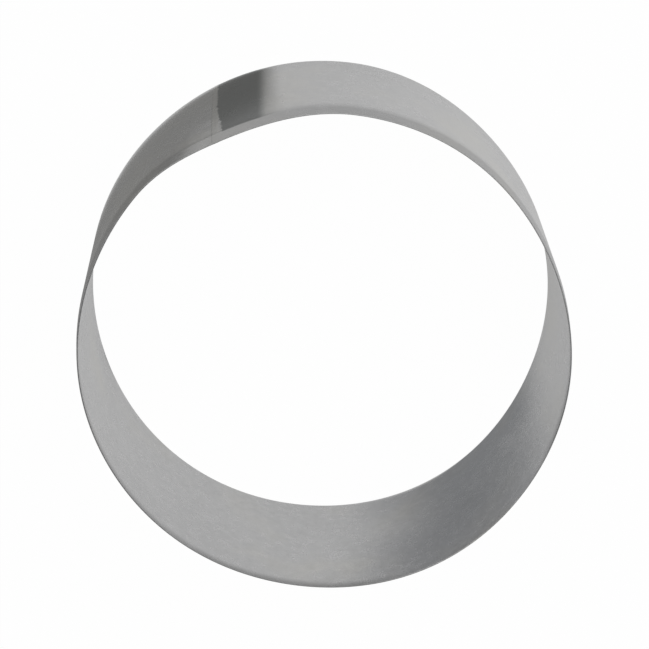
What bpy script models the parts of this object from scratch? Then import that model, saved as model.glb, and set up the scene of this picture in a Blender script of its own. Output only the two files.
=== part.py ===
"""Cake ring: a strip of stainless steel rolled into a hoop and closed by a butt weld.

The hoop lies on its plain rim, with its axis on Z. Its other rim, at the top, is
ground to a thin cutting edge by a long, shallow bevel on the outside. The weld
is dressed flush, so it has the hoop's own section. Lengths are in metres.
"""

import math

import bmesh
import bpy
from mathutils import Matrix, Vector

# The hoop, over all
RING_DIAMETER = 0.140
RING_HEIGHT = 0.060
WALL = 0.0008

# The bevel: how far down it reaches, what it leaves of the wall, and how much
# of each side the soft line at its foot takes up
BEVEL_HEIGHT = 0.0058
EDGE_LAND = 0.00035
BEVEL_BLEND = 0.0005

# What deburring takes off each corner of the section, along both sides
CORNER_BREAK = 0.0001

# The weld: its place round the hoop, the gap between the strip's ends that it
# fills, and the clearance that keeps it a solid of its own
SEAM_ANGLE = math.radians(-68.0)
SEAM_GAP = 0.0022
WELD_CLEARANCE = 0.0003

# How finely the round shapes are divided
RING_STEPS = 180
CORNER_STEPS = 2

# How far a cutter stands past what it cuts, each way
CUTTER_MARGIN = 0.003

# Faces that meet at more than this show a crisp edge
SHARP_ANGLE = math.radians(25.0)

OUTER_RADIUS = RING_DIAMETER / 2
INNER_RADIUS = OUTER_RADIUS - WALL
LAND_RADIUS = INNER_RADIUS + EDGE_LAND
BEVEL_FOOT = RING_HEIGHT - BEVEL_HEIGHT


def clear_objects():
    """Start from an empty scene."""
    for old in list(bpy.data.objects):
        bpy.data.objects.remove(old, do_unlink=True)


def new_collection(name):
    """A collection of this name, linked to the scene."""
    collection = bpy.data.collections.new(name)
    bpy.context.scene.collection.children.link(collection)
    return collection


def steel_material(name, colour, roughness):
    """A bare metal of one colour and one roughness."""
    material = bpy.data.materials.new(name)
    material.use_nodes = True
    shader = material.node_tree.nodes["Principled BSDF"]
    shader.inputs["Base Color"].default_value = (*colour, 1.0)
    shader.inputs["Metallic"].default_value = 1.0
    shader.inputs["Roughness"].default_value = roughness
    return material


def satin_strip_material():
    """Cold-rolled stainless strip with a fine satin grain."""
    return steel_material("satin_strip", (0.56, 0.56, 0.55), 0.36)


def dressed_weld_material():
    """Weld metal that was ground back, a little duller than the strip."""
    return steel_material("dressed_weld", (0.50, 0.49, 0.47), 0.45)


def rounded_corner(before, corner, after, setback):
    """Points of the arc that starts and ends at setback from a corner, along its sides."""
    to_before = (before - corner).normalized()
    to_after = (after - corner).normalized()
    half_angle = to_before.angle(to_after) / 2
    radius = setback * math.tan(half_angle)
    centre = corner + (to_before + to_after).normalized() * (setback / math.cos(half_angle))
    start = corner + to_before * setback - centre
    end = corner + to_after * setback - centre
    arc = [start.slerp(end, step / CORNER_STEPS) for step in range(CORNER_STEPS + 1)]
    return [centre + point.normalized() * radius for point in arc]


def wall_section():
    """The wall's outline in the XZ plane: down the outside, then up the inside."""
    corners = [
        (LAND_RADIUS, RING_HEIGHT, CORNER_BREAK),
        (OUTER_RADIUS, BEVEL_FOOT, BEVEL_BLEND),
        (OUTER_RADIUS, 0.0, CORNER_BREAK),
        (INNER_RADIUS, 0.0, CORNER_BREAK),
        (INNER_RADIUS, RING_HEIGHT, CORNER_BREAK),
    ]
    places = [Vector((x, 0.0, z)) for x, z, setback in corners]
    points = []
    for index, (x, z, setback) in enumerate(corners):
        before = places[index - 1]
        after = places[(index + 1) % len(places)]
        points += rounded_corner(before, places[index], after, setback)
    return points


def turned_hoop(name, collection, material):
    """The wall's section turned once round Z."""
    points = wall_section()
    count = len(points)
    mesh = bpy.data.meshes.new(name)
    mesh.from_pydata(points, [(i, (i + 1) % count) for i in range(count)], [])
    mesh.materials.append(material)
    hoop = bpy.data.objects.new(name, mesh)
    collection.objects.link(hoop)

    turn = hoop.modifiers.new("turn", "SCREW")
    turn.axis = "Z"
    turn.angle = math.tau
    turn.steps = RING_STEPS
    turn.render_steps = RING_STEPS
    turn.use_smooth_shade = True
    return hoop


def seam_block(name, width, collection):
    """A cutter across the wall at the seam, this wide along the strip."""
    size = Vector((WALL + 2 * CUTTER_MARGIN, width, RING_HEIGHT + 2 * CUTTER_MARGIN))
    mid_wall = (OUTER_RADIUS + INNER_RADIUS) / 2
    place = Matrix.Rotation(SEAM_ANGLE, 4, "Z") @ Matrix.Translation((mid_wall, 0, RING_HEIGHT / 2))

    shape = bmesh.new()
    bmesh.ops.create_cube(shape, size=1.0, matrix=place @ Matrix.Diagonal((*size, 1.0)))
    mesh = bpy.data.meshes.new(name)
    shape.to_mesh(mesh)
    shape.free()

    block = bpy.data.objects.new(name, mesh)
    block.hide_render = True
    block.display_type = "WIRE"
    collection.objects.link(block)
    return block


def cut(target, cutter, operation):
    """An exact Boolean of the target with the cutter."""
    boolean = target.modifiers.new(cutter.name, "BOOLEAN")
    boolean.operation = operation
    boolean.solver = "EXACT"
    boolean.object = cutter


def keep_edges_crisp(target):
    """Smooth shading that breaks only at the section's true corners."""
    target.data.shade_smooth()
    target.data.set_sharp_from_angle(angle=SHARP_ANGLE)


def rolled_band(parts, cutters):
    """The strip, rolled round to two ends that face each other across the seam."""
    band = turned_hoop("rolled_band", parts, satin_strip_material())
    cut(band, seam_block("seam_gap_cutter", SEAM_GAP, cutters), "DIFFERENCE")
    keep_edges_crisp(band)


def weld_seam(parts, cutters):
    """The weld between the strip's ends: a slice of the hoop, dressed flush all over."""
    weld = turned_hoop("weld_seam", parts, dressed_weld_material())
    width = SEAM_GAP - 2 * WELD_CLEARANCE
    cut(weld, seam_block("weld_width_cutter", width, cutters), "INTERSECT")
    keep_edges_crisp(weld)


def main():
    """Build the hoop and its weld."""
    clear_objects()
    parts = new_collection("cake_ring")
    cutters = new_collection("cake_ring_cutters")
    rolled_band(parts, cutters)
    weld_seam(parts, cutters)


main()
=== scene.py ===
# %% [markdown]
# # A cake ring of rolled steel strip
#
# The object is a hoop: one strip of satin stainless steel, rolled round and closed by
# a butt weld, with a long bevel ground on the outside of one rim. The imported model
# gives it as two plain solids. This lesson makes the surface that a camera sees round
# them, as arrays worked out with numpy, and finishes it with shader nodes. Nothing
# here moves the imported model, so a piece made to its sizes fits without any placing.

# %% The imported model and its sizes
import math

import bpy
import numpy as np
from mathutils import Matrix, Vector


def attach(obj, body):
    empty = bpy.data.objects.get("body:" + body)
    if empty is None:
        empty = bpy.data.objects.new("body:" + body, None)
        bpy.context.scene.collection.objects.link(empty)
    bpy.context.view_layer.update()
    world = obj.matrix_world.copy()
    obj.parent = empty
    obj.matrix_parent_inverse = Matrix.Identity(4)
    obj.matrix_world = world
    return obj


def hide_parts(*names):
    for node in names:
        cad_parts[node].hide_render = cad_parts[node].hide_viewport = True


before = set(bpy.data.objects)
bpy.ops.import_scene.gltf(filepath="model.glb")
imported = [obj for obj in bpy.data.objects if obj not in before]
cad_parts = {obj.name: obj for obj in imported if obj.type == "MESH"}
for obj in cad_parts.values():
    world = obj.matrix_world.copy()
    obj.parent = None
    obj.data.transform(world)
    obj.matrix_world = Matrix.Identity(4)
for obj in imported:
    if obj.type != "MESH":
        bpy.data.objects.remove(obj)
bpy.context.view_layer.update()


def vertex_array(mesh):
    """Every vertex of a mesh, as an array with one row of x, y and z for each."""
    flat = np.empty(len(mesh.vertices) * 3)
    mesh.vertices.foreach_get("co", flat)
    return flat.reshape(-1, 3)


strip_points = vertex_array(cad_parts["rolled_band"].data)
weld_points = vertex_array(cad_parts["weld_seam"].data)
strip_radii = np.hypot(strip_points[:, 0], strip_points[:, 1])

OUTER_RADIUS = strip_radii.max()
INNER_RADIUS = strip_radii.min()
WALL = OUTER_RADIUS - INNER_RADIUS
HEIGHT = strip_points[:, 2].max()
SEAM_ANGLE = math.atan2(weld_points[:, 1].mean(), weld_points[:, 0].mean())
print(f"hoop {2000 * OUTER_RADIUS:.1f} mm across, {1000 * HEIGHT:.1f} mm high, wall {1000 * WALL:.2f} mm")
print(f"weld at {math.degrees(SEAM_ANGLE):.1f} degrees")

# %% [markdown]
# ## Meshes and objects
#
# In Blender a mesh, a lamp or a camera is only data. An object gives that data a place,
# and it shows once a collection of the scene holds it. A new object stands at the
# origin, unturned, and every piece here stays there. Its place is in its points.

# %% Two helpers that make them
def add_object(name, data):
    """A new object that holds this data, linked to the scene."""
    added = bpy.data.objects.new(name, data)
    bpy.context.scene.collection.objects.link(added)
    return added


def new_mesh(name, points, faces):
    """A mesh of an array of points, whose last axis is x, y and z, and a list of faces."""
    mesh = bpy.data.meshes.new(name)
    mesh.from_pydata(points.reshape(-1, 3).tolist(), [], faces)
    return mesh


# %% [markdown]
# ## The camera
#
# The hoop lies flat and the camera looks down on it steeply, from the -Y side, through
# a long lens. The two rims are circles on the real thing and ellipses in the picture,
# and one set of height, distance and lens puts both ellipses in place. The camera is
# rolled almost half a turn, so the near side of the hoop is at the top of the picture.
# Its place could be set by hand in the viewport. Written as angles and one distance,
# each number stands for something that the picture shows.

# %% The camera
CAMERA_ELEVATION = math.radians(71.55)
CAMERA_DISTANCE = 0.6967
CAMERA_ROLL = math.radians(176.25)
CAMERA_LENS = 134.84
CAMERA_CLIP = 0.01
AIM = Vector((-0.00048, 0.00036, HEIGHT / 2))

camera_data = bpy.data.cameras.new("camera")
camera_data.lens = CAMERA_LENS
camera_data.clip_start = CAMERA_CLIP
camera = add_object("camera", camera_data)
bpy.context.scene.camera = camera

towards_camera = Vector((0.0, -math.cos(CAMERA_ELEVATION), math.sin(CAMERA_ELEVATION)))
upright = Matrix.Rotation(math.pi / 2 - CAMERA_ELEVATION, 4, "X")
rolled = upright @ Matrix.Rotation(CAMERA_ROLL, 4, "Z")
camera.matrix_world = Matrix.Translation(AIM + CAMERA_DISTANCE * towards_camera) @ rolled
print(f"camera {1000 * CAMERA_DISTANCE:.0f} mm away, {math.degrees(CAMERA_ELEVATION):.1f} degrees up")

# %% [markdown]
# ## The section of the wall
#
# Cut across, the wall is a thin upright strip. Its foot is square with the sharp
# corners taken off, its top narrows to a land a third of a millimetre wide, and the
# bevel joins that land to the outside. A Bevel modifier could round the corners of a
# plain shape, but each corner here has its own size. So one closed line describes all
# of it: five corners, each with the length that its rounding takes off both sides.
# Every straight side gets extra points close to its ends, because smooth shading
# blends the normals of neighbouring faces, and the rounding would otherwise bleed into
# the flat.

# %% The section of the wall
BEVEL_HEIGHT = 0.0058
EDGE_LAND = 0.00035
BEVEL_BLEND = 0.0005
CORNER_BREAK = 0.0001
BEVEL_FOOT = HEIGHT - BEVEL_HEIGHT
CORNER_POINTS = 5
SUPPORT = 0.00004
ROW_STEP = 0.0028

corners = np.array([(EDGE_LAND, HEIGHT), (WALL, BEVEL_FOOT), (WALL, 0.0), (0.0, 0.0), (0.0, HEIGHT)])
setbacks = (CORNER_BREAK, BEVEL_BLEND, CORNER_BREAK, CORNER_BREAK, CORNER_BREAK)


def arc(before, corner, after, setback):
    """A corner's round: centre + first * sin((1 - s) t) / sin t + last * sin(s t) / sin t."""
    to_before = (before - corner) / np.linalg.norm(before - corner)
    to_after = (after - corner) / np.linalg.norm(after - corner)
    half = math.acos(to_before @ to_after) / 2
    inwards = (to_before + to_after) / np.linalg.norm(to_before + to_after)
    centre = corner + inwards * setback / math.cos(half)
    first = corner + to_before * setback - centre
    last = corner + to_after * setback - centre
    turn = math.pi - 2 * half
    share = np.linspace(0, 1, CORNER_POINTS)[:, None]
    return centre + (first * np.sin((1 - share) * turn) + last * np.sin(share * turn)) / math.sin(turn)


def side(start, end):
    """Points of a straight side: start + share * (end - start), with one close to each end."""
    length = np.linalg.norm(end - start)
    rows = max(round(length / ROW_STEP), 1)
    share = np.r_[SUPPORT / length, np.linspace(0, 1, rows + 1)[1:-1], 1 - SUPPORT / length]
    return start + share[:, None] * (end - start)


corners_before = np.roll(corners, 1, axis=0)
corners_after = np.roll(corners, -1, axis=0)
arcs = [arc(*four) for four in zip(corners_before, corners, corners_after, setbacks)]
sides = [side(here[-1], there[0]) for here, there in zip(arcs, arcs[1:] + arcs[:1])]
section = np.concatenate([points for pair in zip(arcs, sides) for points in pair])
print(f"section of {len(section)} points")

# %% [markdown]
# ## Distances along the section
#
# The finishes need to know where the bevel ends or the inside begins. So the run along
# the closed line is added up from point to point. It starts on the land, goes down the
# outside and comes up the inside, and each corner has one value of it.

# %% Distances along the section
steps = np.linalg.norm(np.roll(section, -1, axis=0) - section, axis=1)
section_run = np.r_[0.0, np.cumsum(steps)]
arc_starts = np.cumsum([0] + [CORNER_POINTS + len(points) for points in sides])[:-1]
corner_runs = section_run[arc_starts + CORNER_POINTS // 2]
BEVEL_RUN, FOOT_RUN, RIM_RUN = corner_runs[[1, 2, 4]]
for edge, run in (("bevel", BEVEL_RUN), ("outside", FOOT_RUN), ("inside", RIM_RUN)):
    print(f"{edge} ends {1000 * run:.1f} mm along the section")

# %% [markdown]
# ## The shape of the hoop
#
# A hoop of thin strip is never quite round. Springback leaves it a little longer one
# way than the other, with weaker lobes on top of that, and a bit different at its two
# rims. The ends of a strip also come out of the rollers flatter than the rest, so the
# hoop is pressed in on both sides of its weld, most of all at the bevelled rim. A
# lattice or sculpting could bend it by feel. A formula can be measured: all of it is
# one number for each place, how far the wall stands inside the true circle.

# %% The shape of the hoop
MEAN_INSET = 0.00088

# Each lobe: how many go round, the angle of one of them in degrees, and its size
TOP_LOBES = (
    (2, -73.4, 0.00085),
    (3, 18.3, 0.00018),
    (4, 23.0, 0.00012),
    (5, 16.8, 0.00008),
    (6, -7.1, 0.00014),
)
FOOT_LOBES = (
    (2, -79.5, 0.00080),
    (3, -4.6, 0.00011),
    (4, -6.6, 0.00010),
    (5, -30.2, 0.00021),
    (6, 4.8, 0.00006),
)

FLAT_DEPTH_TOP = 0.00207
FLAT_DEPTH_FOOT = -0.00022
FLAT_MIDDLE = math.radians(-70.9)
FLAT_BEFORE = math.radians(30.1)
FLAT_AFTER = math.radians(25.0)
FLAT_RISE_POWER = 1.5


def fade(share):
    """A smooth fall from 1 at share 0 to 0 at share 1: (1 + cos(pi * share)) / 2."""
    return 0.5 + 0.5 * np.cos(np.pi * np.clip(share, 0.0, 1.0))


def flattened(angle):
    """1 in the middle of the flattened stretch by the weld, fading to 0 on both sides."""
    away = (angle - FLAT_MIDDLE + math.pi) % math.tau - math.pi
    return fade(-away / FLAT_BEFORE) * fade(away / FLAT_AFTER)


def lobed(angle, lobes):
    """The sum of size * cos(count * (angle - middle)) over the lobes."""
    return sum(size * np.cos(count * (angle - math.radians(middle))) for count, middle, size in lobes)


def inward(angle, height):
    """How far the wall stands inside the true circle: mean - lobes + depth of the flat."""
    share = np.clip(height, 0, HEIGHT) / HEIGHT
    lobes = share * lobed(angle, TOP_LOBES) + (1 - share) * lobed(angle, FOOT_LOBES)
    depth = FLAT_DEPTH_FOOT + (FLAT_DEPTH_TOP - FLAT_DEPTH_FOOT) * share**FLAT_RISE_POWER
    return MEAN_INSET - lobes + depth * flattened(angle)


MEASURED_ANGLES = 721
whole_turn = np.linspace(-math.pi, math.pi, MEASURED_ANGLES)
for rim, height in (("foot", 0.0), ("top", HEIGHT)):
    inset = 1000 * inward(whole_turn, height)
    print(f"{rim} rim from {inset.min():.2f} to {inset.max():.2f} mm inside the circle")

# %% [markdown]
# ## Points of the wall
#
# A surface of this kind is a grid. One direction runs round the hoop and the other
# follows the section, so every vertex comes from one expression on whole arrays. A
# Screw modifier turns a section into a hoop too, but only into a round one. The bevel
# was ground by hand against a belt, so its foot wanders up and down by a tenth or two
# of a millimetre. That wave dies away above and below the foot, and towards the inside.

# %% Points of the wall
# Each wave: how many go round, its phase, and its size
FOOT_WAVES = ((3, 0.4, 0.00008), (7, 2.1, 0.00005), (12, 4.4, 0.00004), (31, 1.0, 0.00002))
FOOT_WAVE_REACH = 0.005


def foot_wave(angle):
    """How far the bevel's foot lies above its mean height: a sum of sines round the hoop."""
    return sum(size * np.sin(count * angle + phase) for count, phase, size in FOOT_WAVES)


def wall_points(angle, across, height):
    """Points of the wall: a radius of inner radius + across - inward, turned by the angle."""
    below = fade((BEVEL_FOOT - height) / FOOT_WAVE_REACH)
    above = fade((height - BEVEL_FOOT) / BEVEL_HEIGHT)
    outside = np.clip(across / WALL, 0, 1)
    lifted = height + foot_wave(angle) * below * above * outside
    radius = INNER_RADIUS + across - inward(angle, height)
    return np.stack([radius * np.cos(angle), radius * np.sin(angle), lifted], axis=-1)


print(f"bevel's foot wanders over {1000 * np.ptp(foot_wave(whole_turn)):.2f} mm")

# %% [markdown]
# ## The strip laid flat
#
# A UV map says where each corner of a face lies on a flat sheet. Unwrapping a mesh in
# the editor has to guess that. A grid knows it: metres round the hoop from the weld,
# and metres along the section. Grain, dressing marks and the bevel's finish all follow
# those two numbers. The two sheared ends are mapped to the lines where they stand.

# %% The strip laid flat
def section_uv(angles):
    """UV of every face corner: (angle - seam angle) * radius, and the run along the section."""
    rows = len(section)
    around = (angles - SEAM_ANGLE) * OUTER_RADIUS
    u = np.stack([around[:-1], around[:-1], around[1:], around[1:]], axis=-1)
    v = np.stack([section_run[:-1], section_run[1:], section_run[1:], section_run[:-1]], axis=-1)
    faces = (len(angles) - 1, rows, 4)
    grid = np.stack([np.broadcast_to(u[:, None], faces), np.broadcast_to(v[None], faces)], axis=-1)
    first_end = np.stack([np.full(rows, around[0]), section_run[-2::-1]], axis=-1)
    last_end = np.stack([np.full(rows, around[-1]), section_run[:-1]], axis=-1)
    return np.concatenate([grid.reshape(-1, 2), first_end, last_end])


# %% [markdown]
# ## A closed piece
#
# Neighbouring points of the grid make its faces, with the section's last point joined
# to its first, and one face closes each open end. The order of a face's corners
# decides which way it looks. The volume shows whether they are right: added up from
# the tetrahedra between the origin and each triangle, it is positive only if the faces
# look outwards.

# %% A closed piece and its volume
CRISP_ANGLE = math.radians(40.0)


def carried_section(name, angles, across):
    """A closed piece: the section carried through these angles, with one face at each end."""
    columns, rows = len(angles), len(section)
    height = np.broadcast_to(section[:, 1], (columns, rows))
    points = wall_points(angles[:, None], np.broadcast_to(across, (columns, rows)), height)

    start = np.arange(columns - 1)[:, None] * rows + np.arange(rows)[None]
    above = np.arange(columns - 1)[:, None] * rows + (np.arange(rows)[None] + 1) % rows
    quads = np.stack([start, above, above + rows, start + rows], axis=-1).reshape(-1, 4)
    first_end = list(range(rows - 1, -1, -1))
    last_end = list(range((columns - 1) * rows, columns * rows))

    mesh = new_mesh(name, points, quads.tolist() + [first_end, last_end])
    mesh.uv_layers.new(name="strip").data.foreach_set("uv", section_uv(angles).ravel())
    mesh.shade_smooth()
    mesh.set_sharp_from_angle(angle=CRISP_ANGLE)
    return add_object(name, mesh)


def volume(piece):
    """The volume inside a closed mesh: the sum of a . (b x c) / 6 over its triangles."""
    mesh = piece.data
    mesh.calc_loop_triangles()
    ids = np.empty(len(mesh.loop_triangles) * 3, dtype=np.int32)
    mesh.loop_triangles.foreach_get("vertices", ids)
    a, b, c = vertex_array(mesh)[ids].reshape(-1, 3, 3).transpose(1, 0, 2)
    return (a * np.cross(b, c)).sum() / 6


# %% [markdown]
# ## The strip
#
# The strip starts at one side of the weld and runs almost a whole turn to the other.
# Its two sheared ends stand face to face across a gap as wide as the weld. A flat
# strip with a Simple Deform modifier would roll up as well. But the gap would then
# depend on the strip's length, and here both come from the same two angles.

# %% The strip
SEAM_GAP = 0.0022
STRIP_COLUMNS = 640

half_gap = SEAM_GAP / 2 / OUTER_RADIUS
strip_angles = SEAM_ANGLE + np.linspace(half_gap, math.tau - half_gap, STRIP_COLUMNS)
strip = carried_section("steel_strip", strip_angles, section[:, 0])
strip_length = np.ptp(strip_angles) * (OUTER_RADIUS - WALL / 2)
print(f"strip {1000 * strip_length:.1f} mm long when flat, {1e6 * volume(strip):.2f} cm3 of steel")

# %% [markdown]
# ## The weld
#
# The weld metal fills the gap and was dressed almost flush. What dressing leaves is a
# crown of a few hundredths of a millimetre, which falls away to a hairline along both
# sides. A bump in the strip's material could fake it, but the weld is a piece of its
# own. It is the strip's own section with the faces pushed out by the crown, so it
# meets the strip on both sides and follows the flattened shape of the hoop.

# %% The weld
WELD_COLUMNS = 25
WELD_CROWN = 0.00003
WELD_EDGE_DIP = 0.00003
WELD_CROWN_POWER = 4
WELD_HAIRLINE = 0.000012

half_weld = half_gap - WELD_HAIRLINE / OUTER_RADIUS
weld_angles = SEAM_ANGLE + half_weld * np.sin(np.linspace(-math.pi / 2, math.pi / 2, WELD_COLUMNS))
off_middle = (weld_angles[:, None] - SEAM_ANGLE) / half_weld
crown = WELD_CROWN - (WELD_CROWN + WELD_EDGE_DIP) * off_middle**WELD_CROWN_POWER
outwards = 2 * np.clip(section[:, 0] / EDGE_LAND, 0, 1) - 1
weld = carried_section("weld_bead", weld_angles, section[:, 0] + crown * outwards)
print(f"weld {1000 * np.ptp(weld_angles) * OUTER_RADIUS:.2f} mm wide, {1e9 * volume(weld):.1f} mm3")

# %% [markdown]
# ## Shader maths as Python
#
# A material is a graph of nodes, and long graphs are hard to read. So one small class
# stands for the number that comes out of a socket. Arithmetic on it adds the Math node
# that does the same, and `1 - mask` works as it looks.

# %% A number that comes out of a socket
class Number:
    """What comes out of a socket; arithmetic on it adds Math nodes."""

    def __init__(self, finish, socket):
        self.finish = finish
        self.socket = socket

    def __add__(self, other):
        return self.finish.math("ADD", self, other)

    def __sub__(self, other):
        return self.finish.math("SUBTRACT", self, other)

    def __rsub__(self, other):
        return self.finish.math("SUBTRACT", other, self)

    def __mul__(self, other):
        return self.finish.math("MULTIPLY", self, other)

    __radd__ = __add__
    __rmul__ = __mul__

    def beside(self, output):
        """Another output of the same node, by its name."""
        return Number(self.finish, self.socket.node.outputs[output])


# %% [markdown]
# ## A material that adds its own nodes
#
# A second class is a material, with one method that adds any node: its type, its
# settings, and the values or links of its sockets. The short methods after it are the
# few nodes that this lesson needs, each under the name of what it does.

# %% A material and its nodes
class Finish:
    """A material, and the ways in which its nodes are added."""

    def __init__(self, name):
        self.material = bpy.data.materials.new(name)
        self.material.use_nodes = True
        self.nodes = self.material.node_tree.nodes
        self.links = self.material.node_tree.links
        self.surface = self.nodes["Principled BSDF"]

    def feed(self, node, **sockets):
        """Gives each socket its value or its link; a name's spaces are written as underscores."""
        by_name = {socket.identifier.replace(" ", "_"): socket for socket in node.inputs}
        for name, value in sockets.items():
            if isinstance(value, Number):
                self.links.new(value.socket, by_name[name])
            else:
                by_name[name].default_value = value

    def node(self, kind, settings, output=0, **sockets):
        """Adds a node of this kind, with its settings first and then its sockets."""
        node = self.nodes.new("ShaderNode" + kind)
        for name, value in settings.items():
            setattr(node, name, value)
        self.feed(node, **sockets)
        return Number(self, node.outputs[output])

    def math(self, operation, first, second):
        """A Math node on two numbers."""
        return self.node("Math", {"operation": operation}, Value=first, Value_001=second)

    def stretched(self, vector, factors):
        """A vector times a factor for each axis."""
        return self.node("VectorMath", {"operation": "MULTIPLY"}, Vector=vector, Vector_001=factors)

    def clouds(self, vector, size, detail=2.0, roughness=0.55):
        """Cloudy noise from 0 to 1, in patches about this size."""
        return self.node("TexNoise", {}, Vector=vector, Scale=1 / size, Detail=detail, Roughness=roughness)

    def step(self, value, start, end):
        """0 below start and 1 above end, with a smooth step between them."""
        settings = {"interpolation_type": "SMOOTHSTEP"}
        return self.node("MapRange", settings, Value=value, From_Min=start, From_Max=end)

    def scaled(self, colour, factor):
        """A colour times a number."""
        return self.node("VectorMath", {"operation": "SCALE"}, Vector=colour, Scale=factor)

    def blend(self, factor, first, second):
        """The first colour at factor 0 and the second at 1."""
        colours = {"Factor_Float": factor, "A_Color": first, "B_Color": second}
        return self.node("Mix", {"data_type": "RGBA"}, output=2, **colours)


def dimmed(mask, level):
    """1 where the mask is 0 and the level where it is 1: 1 - (1 - level) * mask."""
    return 1 - (1 - level) * mask


def grey(level):
    """A neutral colour of this level."""
    return (level, level, level, 1.0)


# %% [markdown]
# ## Satin steel
#
# Cold-rolled strip is neither a mirror nor matt. It shows three things at three sizes.
# Slow clouds of tone, a few centimetres across, come from the rollers and from wiping.
# Small blotches of a few millimetres come from handling. A very fine grain runs along
# the strip, and faint rub marks run across it. A photographed texture would repeat
# round the hoop. Noise doesn't: the clouds and blotches read Object coordinates, so
# they have no seam, and the grain and rub marks follow the strip's own UV map.

# %% The steel that both pieces share
CLOUD_SIZE = 0.028
BLOTCH_SIZE = 0.0028
BLOTCH_DETAIL = 3.0
GRAIN_SIZE = 0.00022
GRAIN_STRETCH = (0.03, 1.0, 1.0)
RUB_SIZE = 0.0007
RUB_STRETCH = (1.0, 0.03, 1.0)
RELIEF_DEPTH = 0.00002
NOISE_MEAN = 0.5


class SteelFinish(Finish):
    """Bare steel: metres around the hoop and along the section, and the patterns on every piece."""

    def __init__(self, name):
        super().__init__(name)
        place = self.node("TexCoord", {}, output="Object")
        strip_map = self.node("UVMap", {"uv_map": "strip"})
        self.around = self.node("SeparateXYZ", {}, Vector=strip_map)
        self.run = self.around.beside("Y")
        self.slow = self.clouds(place, CLOUD_SIZE)
        self.blotches = self.clouds(place, BLOTCH_SIZE, detail=BLOTCH_DETAIL)
        self.grain = self.clouds(self.stretched(strip_map, GRAIN_STRETCH), GRAIN_SIZE)
        self.rubs = self.clouds(self.stretched(strip_map, RUB_STRETCH), RUB_SIZE)
        self.feed(self.surface, Metallic=1.0)

    def patterned(self, base=0.0, **shares):
        """base + share * pattern, added up over the patterns named."""
        return sum((share * getattr(self, name) for name, share in shares.items()), base)

    def relief(self, strength, shares):
        """A very shallow bump that follows the patterns named."""
        height = self.patterned(**shares)
        return self.node("Bump", {}, Strength=strength, Distance=RELIEF_DEPTH, Height=height)


# %% [markdown]
# ## The ground bevel and the painted shade at the rim
#
# The bevel was ground, so it is a little darker, and that fades out below its foot. A
# narrow band inside the bevelled rim is painted darker, as painted shade along the rim's
# inner edge, except along one stretch. Each could be a material of its own on its own
# faces, but then its edge would be as sharp as a face. A mask worked out from the UV map can fade.

# %% The ground bevel and the painted shade at the rim
BEVEL_LEVEL = 0.70
BEVEL_FADE_ABOVE = 0.0015
BEVEL_FADE_BELOW = 0.0050
# Painted shade: how dark the band inside the rim is painted, its width, its patchiness, and how much one
# stretch is spared
RIM_SHADE_LEVEL = 0.57
RIM_SHADE_BAND = 0.0042
RIM_SHADE_PATCHY = {"base": 0.6, "slow": 0.8}
RIM_SHADE_SPARED = 0.85

# Metres round the hoop between which the stretch spared the painted shade begins, and those between which
# it ends
RIM_SHADE_SPARED_START = (0.196, 0.218)
RIM_SHADE_SPARED_END = (0.258, 0.276)


def bevel_and_rim_shade(steel):
    """What grinding and the painted shade at the rim leave of the tone, as a factor."""
    bevel = 1 - steel.step(steel.run, BEVEL_RUN - BEVEL_FADE_ABOVE, BEVEL_RUN + BEVEL_FADE_BELOW)
    spared_stretch = steel.step(steel.around, *RIM_SHADE_SPARED_START) * (1 - steel.step(steel.around, *RIM_SHADE_SPARED_END))
    # Painted shade along the rim's inner edge, patchy, and spared along one stretch
    rim_shade_band = steel.step(steel.run, RIM_RUN - RIM_SHADE_BAND, RIM_RUN)
    rim = rim_shade_band * steel.patterned(**RIM_SHADE_PATCHY) * (1 - RIM_SHADE_SPARED * spared_stretch)
    return dimmed(bevel, BEVEL_LEVEL) * dimmed(rim, RIM_SHADE_LEVEL)


# %% [markdown]
# ## The dressed and shaded stretch by the weld
#
# On one side of the weld, dressing went on for about 14 mm of the outside, and that
# stretch is painted dark: partly the dressing's duller finish, partly painted shade. It
# starts on the weld with an edge that slants and wanders, ends softly, and a fainter
# painted shade follows it round the hoop. The same function serves both pieces, so the
# stretch crosses from the weld to the strip without a step. Each piece only has to say
# how far it is from a place on to the middle of the weld.

# %% The dressed and shaded stretch by the weld
# The stretch by the weld, painted darker and bluer: part dressing, part painted shade
DRESSING_AND_SHADE_STEEL = (0.545, 0.571, 0.563, 1.0)
DRESSING_AND_SHADE_LEVEL = 0.35
DRESSING_AND_SHADE_START = 0.0002
DRESSING_AND_SHADE_SLANT = 0.0015
DRESSING_AND_SHADE_SLANT_HEIGHT = 0.030
DRESSING_AND_SHADE_WANDER = 0.0020
DRESSING_AND_SHADE_EDGE = 0.0007
DRESSING_AND_SHADE_TOP_EDGE = 0.0007
DRESSING_AND_SHADE_REACH = 0.0140
DRESSING_AND_SHADE_FADE = 0.0017
DRESSING_AND_SHADE_PATCHY = 0.20
# Painted shade that trails from the stretch round the hoop: its level and how far it reaches
TRAILING_SHADE_LEVEL = 0.89
TRAILING_SHADE_REACH = 0.075


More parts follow.
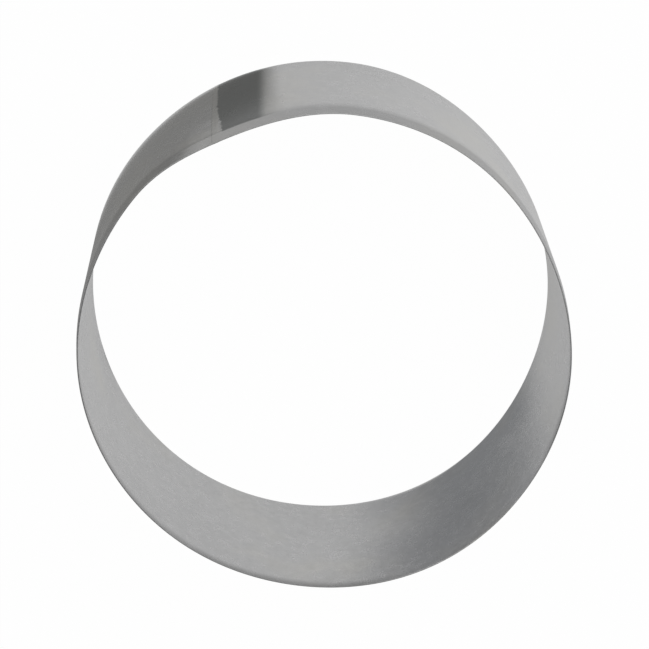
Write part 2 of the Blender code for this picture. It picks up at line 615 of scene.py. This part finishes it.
def dressing_and_shade_stretch(steel, to_weld):
    """The mask of the dressed and shaded stretch, and what it and the painted shade after it leave of the
    tone.
    """
    below_bevel = steel.step(steel.run, BEVEL_RUN - DRESSING_AND_SHADE_TOP_EDGE, BEVEL_RUN + DRESSING_AND_SHADE_TOP_EDGE)
    outside = below_bevel * (1 - steel.step(steel.run, FOOT_RUN, FOOT_RUN + CORNER_BREAK))
    patchy = steel.blotches - NOISE_MEAN

    slant = DRESSING_AND_SHADE_SLANT * (1 - steel.step(steel.run, BEVEL_RUN, BEVEL_RUN + DRESSING_AND_SHADE_SLANT_HEIGHT))
    past_start = to_weld - (DRESSING_AND_SHADE_START + slant + DRESSING_AND_SHADE_WANDER * patchy)
    started = outside * steel.step(past_start, 0.0, DRESSING_AND_SHADE_EDGE)
    ended = steel.step(to_weld, DRESSING_AND_SHADE_REACH - DRESSING_AND_SHADE_FADE, DRESSING_AND_SHADE_REACH + DRESSING_AND_SHADE_FADE)
    # Painted dark: partly dressing, partly painted shade
    dressing_and_shade = started * (1 - ended)
    # Painted shade, fading out round the hoop
    trailing_shade = started * (1 - steel.step(to_weld, 0.0, TRAILING_SHADE_REACH))

    left = dimmed(dressing_and_shade * (1 + DRESSING_AND_SHADE_PATCHY * patchy), DRESSING_AND_SHADE_LEVEL) * dimmed(trailing_shade, TRAILING_SHADE_LEVEL)
    return dressing_and_shade, left


def worked_and_shaded(steel, to_weld, colour, tone):
    """The colour, or the stretch's colour where it is dressed and shaded, times the tone, the bevel's
    finish and the painted shade that dim it.
    """
    # Painted shade at the rim and by the weld dims the colour here, with the bevel's finish
    dressing_and_shade, left = dressing_and_shade_stretch(steel, to_weld)
    shown = steel.blend(dressing_and_shade, colour, DRESSING_AND_SHADE_STEEL)
    return steel.scaled(shown, tone * bevel_and_rim_shade(steel) * left)


# %% [markdown]
# ## The strip's finish
#
# The strip takes the clouds as a change between a neutral and a slightly warm grey,
# and every pattern adds a little to its tone. Roughness and a very shallow bump follow
# the same patterns, so a dull spot is also a slightly rougher one. How much each
# pattern adds is written as a small table, which is easier to tune than a formula.

# %% The strip's finish
BARE_STEEL = (0.566, 0.566, 0.568, 1.0)
WARM_STEEL = (0.572, 0.566, 0.548, 1.0)

# The steel turns warm as the clouds go from the first of these values to the second
WARM_CLOUDS = (0.45, 0.75)

# What each pattern adds to the tone, to the roughness and to the height of the bump
STRIP_TONE = {"base": 0.78, "slow": 0.12, "blotches": 0.30, "grain": 0.01, "rubs": 0.03}
STRIP_ROUGHNESS = {"base": 0.22, "blotches": 0.10, "grain": 0.03, "slow": -0.05}
STRIP_RELIEF = {"blotches": 0.8, "grain": 0.12, "rubs": 0.08}
STRIP_BUMP = 0.35


def satin_strip():
    """Satin strip: warm clouds, blotches, grain and rub marks."""
    steel = SteelFinish("satin_strip")
    warmth = steel.step(steel.slow, *WARM_CLOUDS)
    bare = steel.blend(warmth, BARE_STEEL, WARM_STEEL)
    to_weld = math.tau * OUTER_RADIUS - steel.around
    colour = worked_and_shaded(steel, to_weld, bare, steel.patterned(**STRIP_TONE))
    roughness = steel.patterned(**STRIP_ROUGHNESS)
    bump = steel.relief(STRIP_BUMP, STRIP_RELIEF)
    steel.feed(steel.surface, Base_Color=colour, Roughness=roughness, Normal=bump)
    return steel.material


strip.data.materials.append(satin_strip())
print("strip's finish:", strip.data.materials[0].name)

# %% [markdown]
# ## The weld's finish
#
# Weld metal cools in another grain than rolled strip. After dressing it is slightly
# warmer than the strip, with deeper scratches along it. The worked and painted places
# run on over it, so the dark stretch, partly painted shade, begins on the weld itself.

# %% The weld's finish
WELD_STEEL = (0.55, 0.55, 0.54, 1.0)
WELD_TINT = (0.56, 0.55, 0.53, 1.0)
WELD_TONE = {"base": 0.92, "blotches": 0.10, "grain": 0.10}
WELD_ROUGHNESS = {"base": 0.22, "blotches": 0.08}
WELD_RELIEF = {"grain": 1.0, "blotches": 1.0}
WELD_BUMP = 0.5


def dressed_weld():
    """Weld metal after dressing: warm, blotchy and scratched along the strip."""
    steel = SteelFinish("dressed_weld")
    bare = steel.blend(steel.blotches, WELD_STEEL, WELD_TINT)
    to_weld = 0.0 - steel.around
    colour = worked_and_shaded(steel, to_weld, bare, steel.patterned(**WELD_TONE))
    roughness = steel.patterned(**WELD_ROUGHNESS)
    bump = steel.relief(WELD_BUMP, WELD_RELIEF)
    steel.feed(steel.surface, Base_Color=colour, Roughness=roughness, Normal=bump)
    return steel.material


weld.data.materials.append(dressed_weld())
print("weld's finish:", weld.data.materials[0].name)

# %% [markdown]
# ## The floor
#
# From this camera every wall mirrors the floor close to its own foot, so the floor's
# light and shadow set the tone of the metal. The floor is pale and plain. It could be
# one flat face, but then low views would see its far edge. So it is a grid that rises
# smoothly far away and serves as the background too. It lies a few hundredths of a
# millimetre under the hoop, because two faces in one plane flicker.

# %% The floor
FLOOR_REACH = 3.2
FLOOR_FLAT = 1.0
FLOOR_RISE = 0.15
FLOOR_STEPS = 97
FLOOR_DROP = 0.00003


def grid_faces(steps):
    """The corners of every cell in a square grid of points, with this many to a side."""
    cell = np.arange(steps - 1)
    starts = (cell[:, None] * steps + cell[None]).reshape(-1, 1)
    return starts + np.array([0, steps, steps + 1, 1])


grid_line = np.linspace(-FLOOR_REACH, FLOOR_REACH, FLOOR_STEPS)
grid_x, grid_y = np.meshgrid(grid_line, grid_line, indexing="ij")
past_flat = np.maximum(np.hypot(grid_x, grid_y) - FLOOR_FLAT, 0)
floor_points = np.stack([grid_x, grid_y, FLOOR_RISE * past_flat**2 - FLOOR_DROP], axis=-1)
floor_mesh = new_mesh("floor", floor_points, grid_faces(FLOOR_STEPS).tolist())
floor_mesh.shade_smooth()
floor = add_object("floor", floor_mesh)
print(f"floor {2 * FLOOR_REACH:.1f} m across, up to {floor_points[..., 2].max():.2f} m high")

# %% [markdown]
# ## The floor's paint
#
# The Light Path node tells which kind of ray looks at a surface. To a camera ray the
# floor is almost pure white, with what is left of it kept for the shadow. A reflection
# sees about a third of that white, and otherwise the floor's own light and shadow.
# More light would whiten the floor as well, but it would wash out the steel.

# %% The floor's paint
FLOOR_COLOUR = 0.82
CAMERA_WHITE = 0.985
REFLECTED_WHITE = 0.35

paint = Finish("floor")
camera_ray = paint.node("LightPath", {}, output="Is Camera Ray")
glossy_ray = camera_ray.beside("Is Glossy Ray")
transmission_ray = camera_ray.beside("Is Transmission Ray")
shown_white = CAMERA_WHITE * camera_ray + REFLECTED_WHITE * (glossy_ray + transmission_ray)
paint.feed(paint.surface, Base_Color=grey(FLOOR_COLOUR), Roughness=1.0, Specular_IOR_Level=0.0)
lit = Number(paint, paint.surface.outputs["BSDF"])
white = paint.node("Emission", {}, Strength=1.0)
mixed = paint.node("MixShader", {}, Fac=shown_white, Shader=lit, Shader_001=white)
paint.feed(paint.nodes["Material Output"], Surface=mixed)
floor_mesh.materials.append(paint.material)
print("floor's paint has", len(paint.nodes), "nodes")

# %% [markdown]
# ## Where the wall mirrors the floor
#
# A photographer of bright metal sets dark cards round it, so that the metal mirrors
# them and shows its shape. A card has to lie where the wall mirrors the floor. It
# could be pushed about until it looks right. Here its place is found by following
# camera rays: each is turned round at the wall by d - 2 (d . n) n and followed down to
# the card's level. Lines of equal angle on the wall then become the card's edges, and
# look upright in the metal.

# %% Where the wall mirrors the floor
def mirrored_place(radius, angle, height, level):
    """Where camera rays come down to a level after the wall: wall + t (d - 2 (d . n) n)."""
    normal = np.stack([np.cos(angle), np.sin(angle), np.zeros_like(angle)], axis=-1)
    wall = normal * radius + np.stack([np.zeros_like(height)] * 2 + [height], axis=-1)
    sight = wall - np.array(camera.matrix_world.translation)
    turned = sight - 2 * (sight * normal).sum(axis=-1, keepdims=True) * normal
    return wall - turned * ((height - level) / turned[..., 2])[..., None]


near_side = np.array([-math.pi / 2])
mirrored = mirrored_place(OUTER_RADIUS, near_side, np.array([HEIGHT]), 0.0)[0]
print(f"the near wall's top mirrors the floor {-1000 * mirrored[1] - 1000 * OUTER_RADIUS:.0f} mm before it")

# %% [markdown]
# ## A dark card
#
# A card is a grid between two edges, each given as angles on the wall at some heights.
# It floats a little above its level, clear of the floor. Its UV map is the share of the
# way from one edge to the other, and the share of the way from the wall to its far
# side. Its paper could be lit by the lamp, but then its tone would change with every
# shadow. So it gives off a plain grey, darker towards the far side, and mixes with a
# transparent shader so that all four sides are soft.

# %% A dark card
CARD_LIFT = 0.0003
CARD_STEPS = 41


def card_sheet(name, radius, level, heights, low_edge, high_edge):
    """A card's mesh: mirrored places at the angle low + share * (high - low)."""
    shares = np.linspace(0, 1, CARD_STEPS)
    share, reach = np.meshgrid(shares, shares, indexing="ij")
    height = heights[0] + (heights[-1] - heights[0]) * reach
    low = np.interp(height, heights, low_edge)
    high = np.interp(height, heights, high_edge)
    points = mirrored_place(radius, np.radians(low + (high - low) * share), height, level)
    points[..., 2] += CARD_LIFT

    faces = grid_faces(CARD_STEPS)
    mesh = new_mesh(name, points, faces.tolist())
    uv = np.stack([share.ravel()[faces], reach.ravel()[faces]], axis=-1)
    mesh.uv_layers.new(name="card").data.foreach_set("uv", uv.ravel())
    return mesh


def card_paper(name, soft, colour, far_level):
    """A card's material; soft is how much of the card its low, high, near and far sides fade over."""
    paper = Finish(name)
    across = paper.node("SeparateXYZ", {}, Vector=paper.node("UVMap", {"uv_map": "card"}))
    away = across.beside("Y")
    low, high, near, far = soft
    cover = paper.step(across, 0.0, low) * (1 - paper.step(across, 1 - high, 1.0))
    cover = cover * paper.step(away, 0.0, near) * (1 - paper.step(away, 1 - far, 1.0))
    shown = paper.scaled(colour, dimmed(away * away, far_level))
    sheet = paper.node("Emission", {}, Color=shown, Strength=1.0)
    clear = paper.node("BsdfTransparent", {})
    mixed = paper.node("MixShader", {}, Fac=cover, Shader=clear, Shader_001=sheet)
    paper.feed(paper.nodes["Material Output"], Surface=mixed)
    return paper.material


# %% [markdown]
# ## The three cards
#
# Two cards serve the inside of the far wall and one the outside of the near wall, and
# only reflections see them. Inside a hoop, the mirrored lines of equal angle cross one
# another about half a radius from the wall. So the inner card stops short of that, and
# a second one above it serves the upper half of the wall from closer by.

# %% The three cards
CARD_SHEETS = {
    "inner_card": {
        "radius": INNER_RADIUS,
        "level": 0.0,
        "heights": (0.0, 0.045, 0.096),
        "low_edge": (87.0, 92.0, 109.0),
        "high_edge": (167.0, 166.0, 170.0),
    },
    "raised_card": {
        "radius": INNER_RADIUS,
        "level": 0.022,
        "heights": (0.022, 0.067, 0.118),
        "low_edge": (87.0, 90.0, 106.0),
        "high_edge": (153.0, 164.0, 172.0),
    },
    "outer_card": {
        "radius": OUTER_RADIUS,
        "level": 0.0,
        "heights": (0.0, 0.062, 0.082, 0.160),
        "low_edge": (-84.5, -84.5, -68.3, -68.3),
        "high_edge": (-1.0, -1.0, -1.0, -1.0),
    },
}
INNER_PAPER = (0.296, 0.302, 0.311)
OUTER_PAPER = (0.266, 0.265, 0.259)
CARD_PAPERS = {
    "inner_card": {"soft": (0.42, 0.28, 0.01, 0.02), "colour": INNER_PAPER, "far_level": 0.40},
    "raised_card": {"soft": (0.42, 0.28, 0.30, 0.02), "colour": INNER_PAPER, "far_level": 0.60},
    "outer_card": {"soft": (0.07, 0.03, 0.01, 0.30), "colour": OUTER_PAPER, "far_level": 0.82},
}
HIDDEN_FROM = ("camera", "diffuse", "transmission", "volume_scatter", "shadow")

for name, sheet in CARD_SHEETS.items():
    card = add_object(name, card_sheet(name, **sheet))
    card.data.materials.append(card_paper(name, **CARD_PAPERS[name]))
    for ray in HIDDEN_FROM:
        setattr(card, "visible_" + ray, False)
    print(card.name, "spans", [round(1000 * span) for span in card.dimensions[:2]], "mm")

# %% [markdown]
# ## The light
#
# One large soft lamp hangs high on the camera's side, a little to the right in the
# picture, and a plain grey sky fills in. More lamps would add more shadows on the
# floor, and the steel would mirror each of them. Near the wall the floor sees less of
# the sky, which is the soft shadow at its foot. The flat land of the rim mirrors the
# sky past the lamp, so it reads as a dark line.

# %% The light
SKY = 0.28
LAMP_AZIMUTH = math.radians(243.0)
LAMP_ELEVATION = math.radians(68.0)
LAMP_DISTANCE = 1.4
LAMP_SIZE = 1.8
LAMP_LEVEL = 0.51

lamp_out = Vector((
    math.cos(LAMP_AZIMUTH) * math.cos(LAMP_ELEVATION),
    math.sin(LAMP_AZIMUTH) * math.cos(LAMP_ELEVATION),
    math.sin(LAMP_ELEVATION),
))
lamp_data = bpy.data.lights.new("soft_lamp", "AREA")
lamp_data.size = LAMP_SIZE
lamp_data.energy = LAMP_LEVEL * math.pi**2 * LAMP_DISTANCE**2 / math.sin(LAMP_ELEVATION)
lamp = add_object("soft_lamp", lamp_data)
lamp.location = lamp_out * LAMP_DISTANCE
lamp.rotation_mode = "QUATERNION"
lamp.rotation_quaternion = lamp_out.to_track_quat("Z", "Y")
lamp.visible_camera = False
print(f"lamp of {lamp_data.energy:.1f} W")

world = bpy.data.worlds.new("sky")
world.use_nodes = True
world.node_tree.nodes["Background"].inputs["Color"].default_value = grey(SKY)
bpy.context.scene.world = world
bpy.context.scene.view_settings.view_transform = "Standard"

# %% [markdown]
# ## Fitting the pieces to the imported model
#
# Each piece rides on the imported body, and the imported node that it stands for is hidden.

# %% The pieces and the imported model
for piece, node, slot in ((strip, "rolled_band", "satin_strip"), (weld, "weld_seam", "dressed_weld")):
    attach(piece, "root")
    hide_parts(node)
    print(piece.name, "has", len(piece.data.polygons), "faces")
